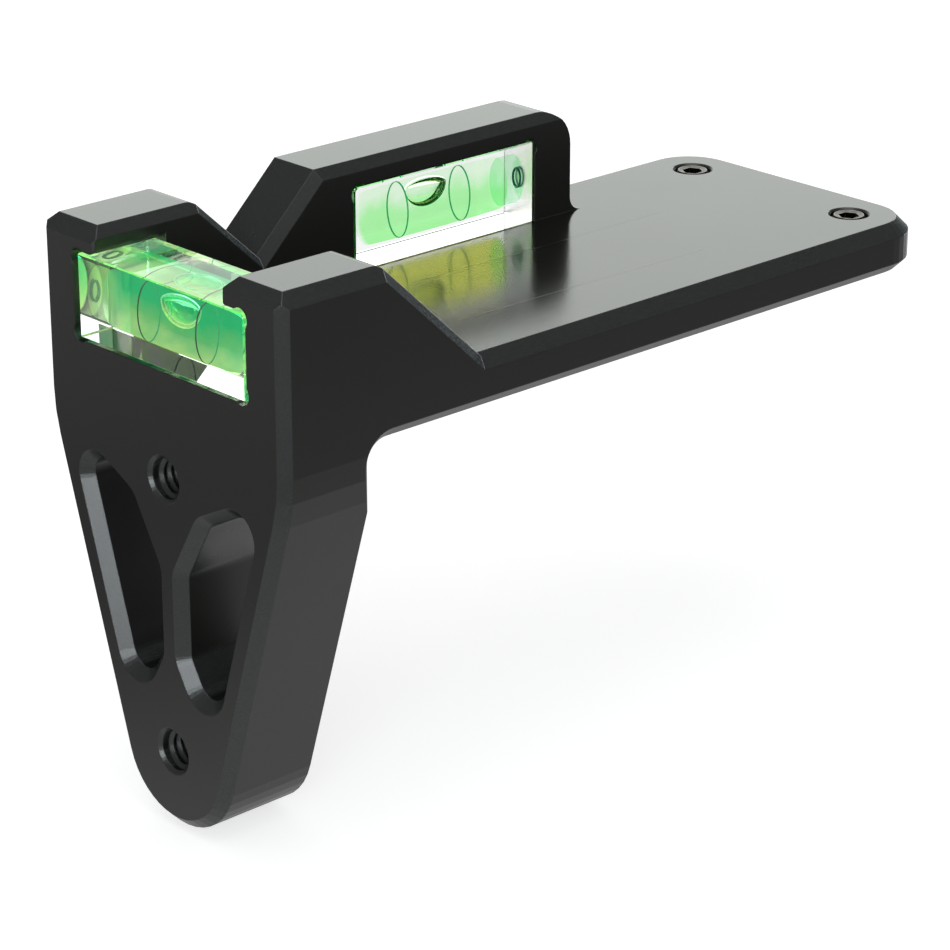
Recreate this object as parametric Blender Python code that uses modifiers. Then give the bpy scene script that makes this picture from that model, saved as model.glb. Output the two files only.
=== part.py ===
"""Bow sight leveler: a milled bracket, two block vials and two levelling set screws.

Lengths are in metres. X runs across the bracket, Y from the flange to the shelf's far end, Z up.
The origin is the middle of the shelf's underside.
"""

import math

import bmesh
import bpy
from mathutils import Matrix, Vector

# Block vial, the same one in both seats
VIAL_LENGTH = 0.0288
VIAL_SIDE = 0.0098
VIAL_EDGE = 0.0002
BORE_RADIUS = 0.0035
BORE_SAG = 0.00015
BLIND_WALL = 0.0045
PLUG_LENGTH = 0.0033
RING_SPACING = 0.0101
RING_SHIFT = 0.0004
RING_WIDTH = 0.00025
RING_THICKNESS = 0.00015
RING_PROUD = 0.00005
FILL_HOLE_RADIUS = 0.0005
SEAL_RADIUS = 0.0014
SEAL_LENGTH = 0.0013
BUBBLE_LENGTH = 0.0066
BUBBLE_WIDTH = 0.0046
BUBBLE_HEIGHT = 0.0037
BUBBLE_OFFSET = 0.0006

# Clearance left between pieces that touch on the real object
SEAT_GAP = 0.0003

# Bracket
BRACKET_WIDTH = 0.0418
BRACKET_LENGTH = 0.1056
SHELF_THICKNESS = 0.0062
CORNER_RADIUS = 0.0072
FLANGE_THICKNESS = 0.0127
NOSE_RADIUS = 0.0095
SIDE_STRAIGHT = 0.00385
BEND_RADIUS = 0.020
INNER_FILLET = 0.0028
LIP_THICKNESS = 0.0030
LIP_NOSE = 0.0008
LIP_OVERHANG = 0.0039
LIP_BREAK = 0.0003
LUG_TOP = 0.01475
LUG_CORNER = 0.0020
GUSSET_ANGLE = math.radians(43.0)
POCKET_PLAY = 0.0012
RELIEF_RADIUS = 0.0013
RELIEF_INSET = 0.0010
RAIL_START = 0.0329
SLANT_ANGLE = math.radians(43.7)
FRONT_POST = 0.0051
REAR_POST = 0.0061
WINDOW_PLAY = 0.0008
RAIL_CORNER = 0.00465
RAIL_FOOT = 0.0019
FACE_CHAMFER = 0.00125
TOP_CHAMFER = 0.0016
INNER_CHAMFER = 0.0012
GUSSET_CHAMFER = 0.0012
GUSSET_INNER_CHAMFER = 0.0008
UNDER_CHAMFER = 0.0013

# Tapped sight holes, bored to the thread's major diameter
THREAD_RADIUS = 0.002415
HOLE_SPACING = 0.03334
UPPER_HOLE_DROP = 0.0066
SIGHT_SINK_RADIUS = 0.00285

# Lightening slots, a mirrored pair, given at the front edge of their chamfer
SLOT_RIB = 0.00315
SLOT_WEB = 0.0019
SLOT_WEB_DROP = 0.0109
SLOT_WEB_RISE = 0.0117
SLOT_SHOULDER_OUT = 0.0056
SLOT_SHOULDER_DROP = 0.00287
SLOT_PEAK_RISE = 0.00317
SLOT_TOE_RISE = 0.0014
SLOT_CORNER = 0.0034
SLOT_TOE_RADIUS = 0.0037
SLOT_CHAMFER = 0.00135

# Levelling set screws
SCREW_SIDE_INSET = 0.0075
SCREW_END_INSET = 0.0072
SCREW_RADIUS = 0.0021
SCREW_LENGTH = 0.0060
SCREW_RECESS = 0.0001
SCREW_RIM_RADIUS = 0.00187
SCREW_POINT_RADIUS = 0.0013
SCREW_POINT_HEIGHT = 0.0008
SOCKET_FLATS = 0.00238
SOCKET_DEPTH = 0.0026
SCREW_SINK_RADIUS = 0.00265

# How finely round stretches are faceted, how far cutters run past what they cut, and how much
# wider the front outline is than the finished sides that it passes
ARC_STEP = math.radians(9.0)
TURN_STEPS = 40
BUBBLE_RINGS = 12
OVERRUN = 0.0010
SIDE_EASE = 0.00001
MERGE = 0.000001
FLAT_ANGLE = math.radians(0.1)
PLANE_DIGITS = 8
FILLET_REACH_SHARE = 0.96

# Places that follow from the sizes
HALF_WIDTH = BRACKET_WIDTH / 2
FRONT_Y = -(FLANGE_THICKNESS + BRACKET_LENGTH) / 2
POCKET_HALF = (VIAL_LENGTH + POCKET_PLAY) / 2
INNER_X = POCKET_HALF - LIP_OVERHANG
RAIL_INNER_X = HALF_WIDTH - VIAL_SIDE
SCREW_X = HALF_WIDTH - SCREW_SIDE_INSET
SCREW_Y = BRACKET_LENGTH - SCREW_END_INSET
POCKET_DEPTH = VIAL_SIDE + SEAT_GAP
CEILING = SHELF_THICKNESS + VIAL_SIDE + 2 * SEAT_GAP
TOP = CEILING + LIP_THICKNESS
SUNK = SHELF_THICKNESS / 2
UPPER_HOLE = -UPPER_HOLE_DROP
LOWER_HOLE = UPPER_HOLE - HOLE_SPACING
NOSE_BOTTOM = LOWER_HOLE - NOSE_RADIUS
WINDOW_START = RAIL_START + FRONT_POST
WINDOW_END = WINDOW_START + VIAL_LENGTH + WINDOW_PLAY
RAIL_END = WINDOW_END + REAR_POST
TAPER = (math.atan2(HALF_WIDTH, -SIDE_STRAIGHT - LOWER_HOLE)
         - math.asin(NOSE_RADIUS / math.hypot(HALF_WIDTH, SIDE_STRAIGHT + LOWER_HOLE)))

# Where an outline drawn flat is seen from: the top, the front or the side
VIEWS = {
    "top": Matrix.Identity(4),
    "front": Matrix.Rotation(math.radians(90), 4, "X"),
    "side": Matrix(((0, 0, 1, 0), (1, 0, 0, 0), (0, 1, 0, 0), (0, 0, 0, 1))),
}
NORMALS = {"top": Vector((0, 0, 1)), "front": Vector((0, 1, 0)), "side": Vector((1, 0, 0))}


def clear_scene():
    """Remove whatever the open file holds."""
    for item in list(bpy.data.objects):
        bpy.data.objects.remove(item, do_unlink=True)


def new_collection(name):
    group = bpy.data.collections.new(name)
    bpy.context.scene.collection.children.link(group)
    return group


def new_material(name, colour, roughness, metallic=0.0, transmission=0.0):
    finish = bpy.data.materials.new(name)
    finish.use_nodes = True
    shader = finish.node_tree.nodes["Principled BSDF"]
    shader.inputs["Base Color"].default_value = (*colour, 1.0)
    shader.inputs["Roughness"].default_value = roughness
    shader.inputs["Metallic"].default_value = metallic
    shader.inputs["Transmission Weight"].default_value = transmission
    finish.diffuse_color = (*colour, 1.0)
    return finish


def new_object(name, bm, group, finish=None):
    """Turn a finished bmesh into a named object; faces meant to lie in one plane are put in it."""
    for vert in bm.verts:
        vert.co = [round(value, PLANE_DIGITS) for value in vert.co]
    mesh = bpy.data.meshes.new(name)
    bm.to_mesh(mesh)
    bm.free()
    item = bpy.data.objects.new(name, mesh)
    group.objects.link(item)
    if finish:
        mesh.materials.append(finish)
    return item


def new_empty(name, group, location, turn=(0, 0, 0), parent=None):
    item = bpy.data.objects.new(name, None)
    group.objects.link(item)
    item.location = location
    item.rotation_euler = turn
    item.parent = parent
    return item


def round_shading(item):
    item.data.shade_smooth()
    item.data.set_sharp_from_angle(angle=math.radians(30))


def rounded(corners):
    """Points of a closed outline; each corner is (u, v, fillet radius)."""
    places = [Vector((u, v)) for u, v, radius in corners]
    count = len(corners)
    halves = []
    wanted = []
    for index, (u, v, radius) in enumerate(corners):
        before = places[index - 1] - places[index]
        after = places[(index + 1) % count] - places[index]
        halves.append(before.angle(after) / 2)
        wanted.append(radius / math.tan(halves[index]))

    def room(index, other):
        """How far along the edge to the other corner a fillet may reach."""
        length = (places[other] - places[index]).length
        both = wanted[index] + wanted[other]
        return wanted[index] * min(1, FILLET_REACH_SHARE * length / both)

    points = []
    for index, (u, v, radius) in enumerate(corners):
        if not radius:
            points.append((u, v))
            continue
        corner = places[index]
        after_index = (index + 1) % count
        before = (places[index - 1] - corner).normalized()
        after = (places[after_index] - corner).normalized()
        reach = min(room(index, index - 1), room(index, after_index))
        fitted = reach * math.tan(halves[index])
        middle = corner + (before + after).normalized() * (fitted / math.sin(halves[index]))
        spoke = corner + before * reach - middle
        turn = math.pi - 2 * halves[index]
        if before.cross(after) > 0:
            turn = -turn
        steps = math.ceil(abs(turn) / ARC_STEP)
        for step in range(steps + 1):
            points.append(tuple(middle + Matrix.Rotation(turn * step / steps, 2) @ spoke))
    return points


def arc(middle, radius, start, end):
    """Points of an arc from one angle to another."""
    steps = math.ceil(abs(end - start) / ARC_STEP)
    angles = [start + (end - start) * step / steps for step in range(steps + 1)]
    return [(middle[0] + radius * math.cos(angle), middle[1] + radius * math.sin(angle)) for angle in angles]


def relief(corner_u, corner_v, inward_u, inward_v):
    """The round relief that a cutter leaves in a corner, anticlockwise round the corner."""
    middle = (corner_u + inward_u * RELIEF_INSET, corner_v + inward_v * RELIEF_INSET)
    lean = math.asin(min(1.0, RELIEF_INSET / RELIEF_RADIUS))
    outward = math.atan2(-inward_v, -inward_u)
    sweep = math.radians(135) - lean
    return arc(middle, RELIEF_RADIUS, outward - sweep, outward + sweep)


def plate(outline, view, low, high):
    """A flat outline given thickness between two planes, as a bmesh."""
    curve = bpy.data.curves.new("outline", "CURVE")
    curve.dimensions = "2D"
    curve.fill_mode = "BOTH"
    curve.extrude = (high - low) / 2
    spline = curve.splines.new("POLY")
    spline.points.add(len(outline) - 1)
    for point, (u, v) in zip(spline.points, outline):
        point.co = (u, v, 0, 1)
    spline.use_cyclic_u = True
    holder = bpy.data.objects.new("outline", curve)
    bpy.context.scene.collection.objects.link(holder)
    seen = holder.evaluated_get(bpy.context.evaluated_depsgraph_get())
    mesh = bpy.data.meshes.new_from_object(seen)
    bpy.data.objects.remove(holder)
    bm = bmesh.new()
    bm.from_mesh(mesh)
    bpy.data.meshes.remove(mesh)
    bmesh.ops.remove_doubles(bm, verts=bm.verts, dist=MERGE)
    bmesh.ops.dissolve_limit(bm, angle_limit=FLAT_ANGLE, verts=bm.verts, edges=bm.edges)
    place = Matrix.Translation(NORMALS[view] * (low + high) / 2) @ VIEWS[view]
    bmesh.ops.transform(bm, matrix=place, verts=bm.verts)
    bmesh.ops.recalc_face_normals(bm, faces=bm.faces)
    return bm


def chamfer(bm, width, wanted):
    """Chamfer the edges whose two ends both pass the test."""
    edges = [edge for edge in bm.edges if all(wanted(vert.co) for vert in edge.verts)]
    bmesh.ops.bevel(bm, geom=edges, offset=width, offset_type="OFFSET", segments=1, profile=0.5,
                    affect="EDGES", clamp_overlap=False, material=-1)


def mill_flat(bm, point, normal):
    """Cut away what lies beyond a plane and close the cut."""
    whole = bm.verts[:] + bm.edges[:] + bm.faces[:]
    cut = bmesh.ops.bisect_plane(bm, geom=whole, plane_co=point, plane_no=normal, clear_outer=True)
    rim = [item for item in cut["geom_cut"] if isinstance(item, bmesh.types.BMEdge)]
    bmesh.ops.edgeloop_fill(bm, edges=rim)
    bmesh.ops.recalc_face_normals(bm, faces=bm.faces)


def mill_edge(bm, point, first, second, width):
    """Chamfer a straight edge, given a point on it and the outward normals of its two faces."""
    mill_flat(bm, point - first * width, first + second)


def near(value, target):
    return abs(value - target) < MERGE


def boolean(item, tool, operation):
    """Join, cut or keep what a hidden tool shares with an object."""
    step = item.modifiers.new(tool.name, "BOOLEAN")
    step.operation = operation
    step.object = tool
    step.solver = "EXACT"
    tool.hide_render = True
    tool.display_type = "WIRE"


def turned(name, profile, group, finish=None, closed=False):
    """Turn a profile of (radius, height) points about Z; it runs top to bottom."""
    mesh = bpy.data.meshes.new(name)
    edges = [(index, index + 1) for index in range(len(profile) - 1)]
    if closed:
        edges.append((len(profile) - 1, 0))
    mesh.from_pydata([(radius, 0, height) for radius, height in profile], edges, [])
    item = bpy.data.objects.new(name, mesh)
    group.objects.link(item)
    if finish:
        mesh.materials.append(finish)
    screw = item.modifiers.new("Turn", "SCREW")
    screw.axis = "Z"
    screw.steps = TURN_STEPS
    screw.render_steps = TURN_STEPS
    screw.use_merge_vertices = True
    screw.merge_threshold = MERGE
    screw.use_smooth_shade = True
    return item


def flange_outline():
    """Front view of the whole bracket: straight sides, tapers and the round nose."""
    bend = (HALF_WIDTH + SIDE_EASE, -SIDE_STRAIGHT)
    side = [(bend[0], TOP + OVERRUN, 0), (-bend[0], TOP + OVERRUN, 0)]
    touch = (NOSE_RADIUS * math.cos(TAPER), LOWER_HOLE - NOSE_RADIUS * math.sin(TAPER))
    left = rounded(side + [(-bend[0], bend[1], BEND_RADIUS), (-touch[0], touch[1], 0),
                           (touch[0], touch[1], 0), (bend[0], bend[1], BEND_RADIUS)])
    nose = arc((0, LOWER_HOLE), NOSE_RADIUS, math.pi + TAPER, 2 * math.pi - TAPER)
    cut = min(range(len(left)), key=lambda index: math.dist(left[index], (-touch[0], touch[1])))
    return left[:cut] + nose + left[cut + 2:]


def flange_blank():
    """Side view of the flange with the fillet that carries the shelf, across the full width."""
    stub = FLANGE_THICKNESS + 2 * INNER_FILLET
    bottom = NOSE_BOTTOM - OVERRUN
    outline = rounded([(-OVERRUN, bottom, 0), (FLANGE_THICKNESS, bottom, 0),
                       (FLANGE_THICKNESS, 0, INNER_FILLET), (stub, 0, 0),
                       (stub, SHELF_THICKNESS, 0), (-OVERRUN, SHELF_THICKNESS, 0)])
    bm = plate(outline, "side", -HALF_WIDTH, HALF_WIDTH)
    for side in (-HALF_WIDTH, HALF_WIDTH):
        chamfer(bm, UNDER_CHAMFER, lambda co: near(co.x, side) and co.z < MERGE
                and co.y > FLANGE_THICKNESS - MERGE)
    return bm


def shelf_blank():
    """Top view of the shelf, with rounded far corners."""
    outline = rounded([(-HALF_WIDTH, FLANGE_THICKNESS, 0), (HALF_WIDTH, FLANGE_THICKNESS, 0),
                       (HALF_WIDTH, BRACKET_LENGTH, CORNER_RADIUS),
                       (-HALF_WIDTH, BRACKET_LENGTH, CORNER_RADIUS)])
    bm = plate(outline, "top", 0, SHELF_THICKNESS)
    for height, width in ((SHELF_THICKNESS, TOP_CHAMFER), (0, UNDER_CHAMFER)):
        chamfer(bm, width, lambda co: near(co.z, height))
    return bm


def lug_blank(side):
    """Side view of a lug and its gusset; side is 1 at the right and -1 at the left."""
    run = (TOP - SUNK) / math.tan(GUSSET_ANGLE)
    outline = rounded([(0, SUNK, 0), (LUG_TOP + run, SUNK, 0), (LUG_TOP, TOP, LUG_CORNER),
                       (TOP_CHAMFER, TOP, 0), (0, TOP - TOP_CHAMFER, 0)])
    low, high = sorted((side * INNER_X, side * HALF_WIDTH))
    bm = plate(outline, "side", low, high)
    up = Vector((0, 0, 1))
    gusset = Vector((0, math.sin(GUSSET_ANGLE), math.cos(GUSSET_ANGLE)))
    for face, outward, top_width, gusset_width in (
            (side * HALF_WIDTH, side, TOP_CHAMFER, GUSSET_CHAMFER),
            (side * INNER_X, -side, INNER_CHAMFER, GUSSET_INNER_CHAMFER)):
        corner = Vector((face, LUG_TOP, TOP))
        across = Vector((outward, 0, 0))
        mill_edge(bm, corner, up, across, top_width)
        mill_edge(bm, corner, gusset, across, gusset_width)
    mill_flat(bm, (side * (HALF_WIDTH + SIDE_EASE), FACE_CHAMFER, TOP), (side, -1, 0))
    mill_flat(bm, (side * INNER_X, LIP_BREAK, TOP), (-side, -1, 0))
    return bm


def rail_blank():
    """Side view of the rail that holds the second vial, flush with the left side."""
    run = (TOP - SUNK) / math.tan(SLANT_ANGLE)
    outline = rounded([(RAIL_START - run, SUNK, 0), (RAIL_END + RAIL_FOOT, SUNK, 0),
                       (RAIL_END + RAIL_FOOT, SHELF_THICKNESS, 0),
                       (RAIL_END, SHELF_THICKNESS, 0), (RAIL_END, TOP, RAIL_CORNER),
                       (RAIL_START, TOP, 0)])
    straight_down = math.radians(270)
    foot = arc((RAIL_END + RAIL_FOOT, SHELF_THICKNESS + RAIL_FOOT), RAIL_FOOT, straight_down, math.pi)
    outline = outline[:2] + foot + outline[4:]
    bm = plate(outline, "side", -HALF_WIDTH, -RAIL_INNER_X)
    up = Vector((0, 0, 1))
    slant = Vector((0, -math.sin(SLANT_ANGLE), math.cos(SLANT_ANGLE)))
    for face, outward, width in ((-HALF_WIDTH, -1, TOP_CHAMFER), (-RAIL_INNER_X, 1, INNER_CHAMFER)):
        corner = Vector((face, RAIL_START, TOP))
        across = Vector((outward, 0, 0))
        mill_edge(bm, corner, up, across, width)
        mill_edge(bm, corner, slant, across, width)
    return bm


def front_envelope():
    """What the front view leaves of the flange: the chamfered outline, deeper than the flange."""
    bm = plate(flange_outline(), "front", 0, FLANGE_THICKNESS + 2 * INNER_FILLET + OVERRUN)
    chamfer(bm, FACE_CHAMFER, lambda co: near(co.y, 0) and co.z < TOP + OVERRUN + MERGE)
    return bm


def pocket_cutter():
    """Undercut pocket for the front vial, open between two round-nosed lips."""
    floor = SHELF_THICKNESS
    right = relief(POCKET_HALF, floor, -1, 1) + relief(POCKET_HALF, CEILING, -1, -1)
    nose = arc((INNER_X + LIP_NOSE, CEILING + LIP_NOSE), LIP_NOSE, math.radians(270), math.pi)
    right += nose
    left = [(-u, v) for u, v in reversed(right)]
    return plate(right + left, "front", -OVERRUN, POCKET_DEPTH)


def window_cutter():
    """Window for the side vial, right through the rail, with reliefs in its upper corners."""
    floor = SHELF_THICKNESS
    outline = [(WINDOW_START, floor), (WINDOW_END, floor)]
    outline += relief(WINDOW_END, CEILING, -1, -1) + relief(WINDOW_START, CEILING, 1, -1)
    return plate(outline, "side", -HALF_WIDTH - OVERRUN, -RAIL_INNER_X + OVERRUN)


def slot_outline(side):
    """Front edge of a lightening slot's chamfer, anticlockwise for either side."""
    def rib_x(height):
        level = (-SIDE_STRAIGHT - height) * math.tan(TAPER)
        return HALF_WIDTH - level - SLOT_RIB / math.cos(TAPER)

    peak = UPPER_HOLE + SLOT_PEAK_RISE
    toe = LOWER_HOLE + SLOT_TOE_RISE
    corners = [(SLOT_WEB / 2, UPPER_HOLE - SLOT_WEB_DROP, SLOT_CORNER),
               (SLOT_WEB / 2, LOWER_HOLE + SLOT_WEB_RISE, SLOT_CORNER),
               (rib_x(toe), toe, SLOT_TOE_RADIUS), (rib_x(peak), peak, SLOT_CORNER),
               (SLOT_SHOULDER_OUT, UPPER_HOLE - SLOT_SHOULDER_DROP, SLOT_CORNER)]
    if side < 0:
        corners = [(-u, v, radius) for u, v, radius in reversed(corners)]
    return rounded(corners)


def slot_cutter(side):
    """Slot through the flange: a straight mouth, the chamfer, then the wall."""
    bm = plate(slot_outline(side), "front", -OVERRUN, 0)
    inner = [face for face in bm.faces if near(face.calc_center_median().y, 0)]
    bmesh.ops.inset_region(bm, faces=inner, thickness=SLOT_CHAMFER, depth=SLOT_CHAMFER,
                           use_even_offset=True)
    grown = bmesh.ops.extrude_face_region(bm, geom=inner)
    bmesh.ops.delete(bm, geom=inner, context="FACES")
    verts = [item for item in grown["geom"] if isinstance(item, bmesh.types.BMVert)]
    bmesh.ops.translate(bm, verts=verts, vec=(0, FLANGE_THICKNESS, 0))
    bmesh.ops.recalc_face_normals(bm, faces=bm.faces)
    return bm


def hole_cutter(name, sink_radius, depth, group):
    """Drill and countersink, pointing down from the face at height zero."""
    sink = sink_radius - THREAD_RADIUS
    profile = [(0, OVERRUN), (sink_radius + OVERRUN, OVERRUN), (THREAD_RADIUS, -sink),
               (THREAD_RADIUS, -depth - OVERRUN), (0, -depth - OVERRUN)]
    return turned(name, profile, group)


def build_bracket(parts, cutters, frame, finish):
    """One milled piece: flange, shelf, lugs and rail, then every pocket and hole."""
    bracket = new_object("bracket", flange_blank(), parts, finish)
    bracket.parent = frame
    envelope = new_object("front_envelope", front_envelope(), cutters)
    envelope.parent = frame
    boolean(bracket, envelope, "INTERSECT")
    for name, bm in (("shelf", shelf_blank()), ("right_lug", lug_blank(1)), ("left_lug", lug_blank(-1)),
                     ("rail", rail_blank())):
        tool = new_object(name, bm, cutters)
        tool.parent = frame
        boolean(bracket, tool, "UNION")
    for name, bm in (("pocket", pocket_cutter()), ("window", window_cutter()),
                     ("right_slot", slot_cutter(1)), ("left_slot", slot_cutter(-1))):
        tool = new_object(name, bm, cutters)
        tool.parent = frame
        boolean(bracket, tool, "DIFFERENCE")
    for name, height in (("upper_hole", UPPER_HOLE), ("lower_hole", LOWER_HOLE)):
        tool = hole_cutter(name, SIGHT_SINK_RADIUS, FLANGE_THICKNESS, cutters)
        tool.location = (0, 0, height)
        tool.rotation_euler = (math.radians(90), 0, 0)
        tool.parent = frame
        boolean(bracket, tool, "DIFFERENCE")
    for name, side in (("right_screw_hole", 1), ("left_screw_hole", -1)):
        tool = hole_cutter(name, SCREW_SINK_RADIUS, SHELF_THICKNESS, cutters)
        tool.location = (side * SCREW_X, SCREW_Y, SHELF_THICKNESS)
        tool.parent = frame
        boolean(bracket, tool, "DIFFERENCE")


def barrel(radius, low, high, middle):
    """A bore or a filling that is widest between the rings, as (radius, height) points."""
    steps = TURN_STEPS // 4
    heights = [high + (low - high) * step / steps for step in range(steps + 1)]
    reach = max(abs(high - middle), abs(low - middle))
    return [(radius - BORE_SAG * ((height - middle) / reach) ** 2, height) for height in heights]


def build_vial(prefix, parts, cutters, finishes, frame):
    """One block vial about its own Z, which runs from the plugged end to the blind end."""
    half = VIAL_LENGTH / 2
    blind = half - BLIND_WALL
    seat = -half + PLUG_LENGTH
    middle = RING_SHIFT
    ring_outer = BORE_RADIUS + RING_PROUD
    pieces = []

    bm = bmesh.new()
    bmesh.ops.create_cube(bm, size=1, matrix=Matrix.Diagonal((VIAL_SIDE, VIAL_SIDE, VIAL_LENGTH, 1)))
    bmesh.ops.bevel(bm, geom=bm.edges, offset=VIAL_EDGE, offset_type="OFFSET", segments=1, profile=0.5,
                    affect="EDGES", material=-1)
    block = new_object(prefix + "_block", bm, parts, finishes["acrylic"])
    pieces.append(block)

    walls = barrel(BORE_RADIUS, seat, blind, middle)
    plug_radius = walls[-1][0]
    bore = turned(prefix + "_bore", [(0, blind)] + walls + [(plug_radius, -half - OVERRUN),
                                                            (0, -half - OVERRUN)], cutters)
    pieces.append(bore)
    boolean(block, bore, "DIFFERENCE")

    for name, side in (("ring_blind_end", 1), ("ring_plug_end", -1)):
        height = middle + side * RING_SPACING / 2
        reach = RING_WIDTH / 2
        inner = ring_outer - RING_THICKNESS
        ring = turned(f"{prefix}_{name}", [(ring_outer, height + reach), (ring_outer, height - reach),
                                           (inner, height - reach), (inner, height + reach)],
                      parts, finishes["ring"], closed=True)
        pieces.append(ring)
        wide = reach + SEAT_GAP
        deep = ring_outer + SEAT_GAP
        groove = turned(f"{prefix}_{name}_groove", [(0, height + wide), (deep, height + wide),
                                                    (deep, height - wide), (0, height - wide)], cutters)
        pieces.append(groove)
        boolean(block, groove, "DIFFERENCE")

    plug_outer = plug_radius - SEAT_GAP
    pocket = SEAL_RADIUS + SEAT_GAP
    seal_floor = -half + SEAL_LENGTH + SEAT_GAP
    plug = turned(prefix + "_plug", [(FILL_HOLE_RADIUS, seat), (plug_outer, seat), (plug_outer, -half),
                                     (pocket, -half), (pocket, seal_floor),
                                     (FILL_HOLE_RADIUS, seal_floor)],
                  parts, finishes["acrylic"], closed=True)
    seal = turned(prefix + "_seal", [(0, -half + SEAL_LENGTH), (SEAL_RADIUS, -half + SEAL_LENGTH),
                                     (SEAL_RADIUS, -half), (0, -half)], parts, finishes["seal"])
    filling = barrel(BORE_RADIUS - SEAT_GAP, seat + SEAT_GAP, blind - SEAT_GAP, middle)
    fluid = turned(prefix + "_fluid", [(0, filling[0][1])] + filling + [(0, filling[-1][1])],
                   parts, finishes["fluid"])
    pieces += [plug, seal, fluid]

    rise = BORE_RADIUS - SEAT_GAP - BUBBLE_HEIGHT / 2
    bm = bmesh.new()
    size = Matrix.Diagonal((BUBBLE_HEIGHT / 2, BUBBLE_WIDTH / 2, BUBBLE_LENGTH / 2, 1))
    bmesh.ops.create_uvsphere(bm, u_segments=2 * BUBBLE_RINGS, v_segments=BUBBLE_RINGS, radius=1,
                              matrix=Matrix.Translation((-rise, 0, 0)) @ size)
    bubble = new_object(prefix + "_bubble", bm, parts, finishes["bubble"])
    bubble.location = (0, 0, middle + BUBBLE_OFFSET)
    round_shading(bubble)
    bm = bmesh.new()
    bmesh.ops.create_cone(bm, cap_ends=True, segments=TURN_STEPS, radius1=1, radius2=1, depth=1)
    path_size = Matrix.Diagonal((BUBBLE_HEIGHT / 2 + SEAT_GAP, BUBBLE_WIDTH / 2 + SEAT_GAP,
                                 VIAL_LENGTH, 1))
    bmesh.ops.transform(bm, matrix=Matrix.Translation((-rise, 0, 0)) @ path_size, verts=bm.verts)
    path = new_object(prefix + "_bubble_path", bm, cutters)
    boolean(fluid, path, "DIFFERENCE")
    pieces += [bubble, path]

    for piece in pieces:
        piece.parent = frame


def build_screw(name, side, parts, cutters, finish, frame):
    """Headless socket screw with a flat point, its origin on its own axis at the shelf's top."""
    top = -SCREW_RECESS
    bottom = top - SCREW_LENGTH
    shoulder = SCREW_RADIUS - SCREW_RIM_RADIUS
    profile = [(0, top), (SCREW_RIM_RADIUS, top), (SCREW_RADIUS, top - shoulder),
               (SCREW_RADIUS, bottom + SCREW_POINT_HEIGHT), (SCREW_POINT_RADIUS, bottom), (0, bottom)]
    screw = turned(name, profile, parts, finish)
    bm = bmesh.new()
    corner = SOCKET_FLATS / 2 / math.cos(math.radians(30))
    bmesh.ops.create_cone(bm, cap_ends=True, segments=6, radius1=corner, radius2=corner,
                          depth=SOCKET_DEPTH + OVERRUN)
    bmesh.ops.translate(bm, verts=bm.verts, vec=(0, 0, top + (OVERRUN - SOCKET_DEPTH) / 2))
    socket = new_object(name + "_socket", bm, cutters)
    boolean(screw, socket, "DIFFERENCE")
    for item in (screw, socket):
        item.location = (side * SCREW_X, SCREW_Y, SHELF_THICKNESS)
        item.parent = frame


def main():
    clear_scene()
    parts = new_collection("bow_sight_leveler")
    cutters = new_collection("leveler_cutters")
    finishes = {
        "anodised": new_material("black_anodised", (0.022, 0.022, 0.021), 0.35, metallic=0.6),
        "acrylic": new_material("clear_acrylic", (0.93, 0.98, 0.95), 0.03, transmission=1.0),
        "fluid": new_material("green_fluid", (0.30, 0.85, 0.32), 0.02, transmission=0.9),
        "bubble": new_material("bubble", (0.97, 1.0, 0.97), 0.02, transmission=1.0),
        "ring": new_material("index_ring", (0.02, 0.03, 0.02), 0.5),
        "seal": new_material("seal", (0.05, 0.08, 0.14), 0.3),
        "screw": new_material("black_oxide", (0.05, 0.045, 0.04), 0.3, metallic=0.9),
    }
    frame = new_empty("leveler_frame", parts, (0, FRONT_Y, 0))
    build_bracket(parts, cutters, frame, finishes["anodised"])

    axis_height = SHELF_THICKNESS + SEAT_GAP + VIAL_SIDE / 2
    front_place = (POCKET_HALF - SEAT_GAP - VIAL_LENGTH / 2, VIAL_SIDE / 2, axis_height)
    side_place = (-HALF_WIDTH + VIAL_SIDE / 2, WINDOW_START + SEAT_GAP + VIAL_LENGTH / 2, axis_height)
    upright = math.radians(90)
    front_frame = new_empty("front_vial_frame", parts, front_place, (0, upright, 0), frame)
    side_frame = new_empty("side_vial_frame", parts, side_place, (0, upright, -upright), frame)
    build_vial("front_vial", parts, cutters, finishes, front_frame)
    build_vial("side_vial", parts, cutters, finishes, side_frame)

    build_screw("right_set_screw", 1, parts, cutters, finishes["screw"], frame)
    build_screw("left_set_screw", -1, parts, cutters, finishes["screw"], frame)


main()
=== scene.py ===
import math
import bmesh
import bpy
from mathutils import Matrix, Vector


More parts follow.
